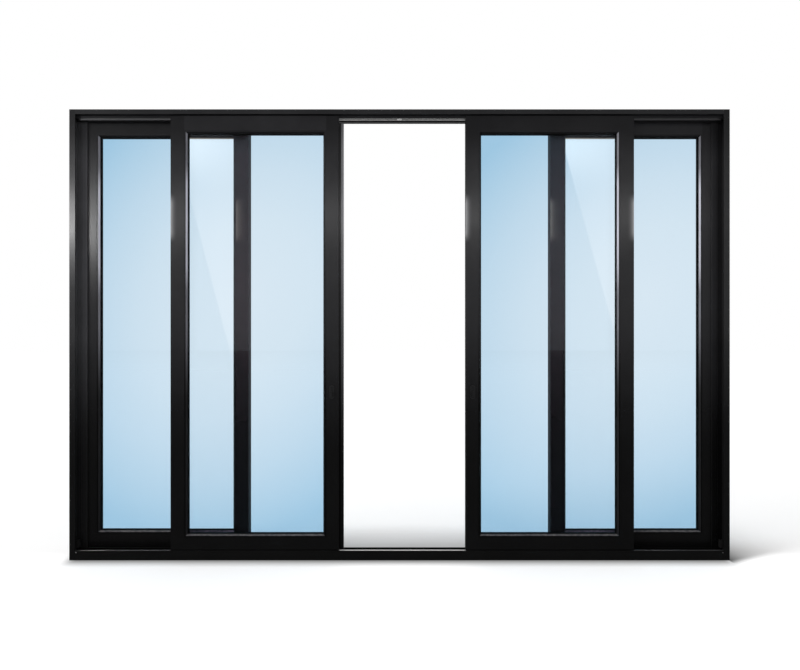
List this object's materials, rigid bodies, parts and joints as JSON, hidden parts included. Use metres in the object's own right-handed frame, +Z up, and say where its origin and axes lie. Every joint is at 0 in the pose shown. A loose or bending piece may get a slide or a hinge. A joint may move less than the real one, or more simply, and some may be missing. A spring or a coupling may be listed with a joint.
{
  "type": "glass sliding patio door, four panels",
  "caption": "Sliding glass patio door in a black aluminium frame: outer panels fixed, inner panels slide apart on a front track.",
  "frame": {"origin": "middle of the flat underside of the sill", "axes": "+X to the right seen from inside, +Y to the outside, +Z up"},
  "size_m": [3.57, 0.1375, 2.438],
  "materials": {
    "frame": "satin black paint",
    "glass": "clear pane with a blue cast",
    "gasket": "matt black",
    "stainless": "brushed",
    "guide": "satin",
    "bumper": "matt black",
    "lock": "satin black",
    "astragal": "satin black paint"
  },
  "bodies": {
    "frame": {"frame_head": "frame", "frame_jamb_left": "frame", "frame_jamb_right": "frame", "frame_sill": "frame", "head_cover": "frame", "head_guide_rail": "guide", "jamb_covers": "frame", "left_fixed_beads": "frame", "left_fixed_bottom_rail": "frame", "left_fixed_gasket": "gasket", "left_fixed_glass": "glass", "left_fixed_interlock_stile": "frame", "left_fixed_jamb_stile": "frame", "left_fixed_top_rail": "frame", "open_stops": "bumper", "right_fixed_beads": "frame", "right_fixed_bottom_rail": "frame", "right_fixed_gasket": "gasket", "right_fixed_glass": "glass", "right_fixed_interlock_stile": "frame", "right_fixed_jamb_stile": "frame", "right_fixed_top_rail": "frame", "sill_cover": "frame", "sill_roller_rail": "stainless"},
    "left_panel": {"left_lock_plate": "lock", "left_slide_astragal": "astragal", "left_slide_beads": "frame", "left_slide_bottom_rail": "frame", "left_slide_gasket": "gasket", "left_slide_glass": "glass", "left_slide_interlock_stile": "frame", "left_slide_meeting_stile": "frame", "left_slide_rollers": "stainless", "left_slide_top_rail": "frame"},
    "right_panel": {"right_lock_plate": "lock", "right_slide_beads": "frame", "right_slide_bottom_rail": "frame", "right_slide_gasket": "gasket", "right_slide_glass": "glass", "right_slide_interlock_stile": "frame", "right_slide_meeting_stile": "frame", "right_slide_rollers": "stainless", "right_slide_top_rail": "frame"},
    "left_thumb_turn": {"left_thumb_turn": "lock"},
    "right_thumb_turn": {"right_thumb_turn": "lock"}
  },
  "joints": [
    {"name": "left_panel_slide", "type": "slide", "parent": "frame", "child": "left_panel", "axis": [1, 0, 0], "range_m": [-0.4985, 0.3265]},
    {"name": "right_panel_slide", "type": "slide", "parent": "frame", "child": "right_panel", "axis": [1, 0, 0], "range_m": [-0.3565, 0.4685]},
    {"name": "left_lock_turn", "type": "hinge", "parent": "left_panel", "child": "left_thumb_turn", "pos_m": [-0.3675, -0.06, 0.899], "axis": [0, 1, 0], "range_deg": [0, 90]},
    {"name": "right_lock_turn", "type": "hinge", "parent": "right_panel", "child": "right_thumb_turn", "pos_m": [0.3975, -0.06, 0.899], "axis": [0, 1, 0], "range_deg": [-90, 0]}
  ]
}
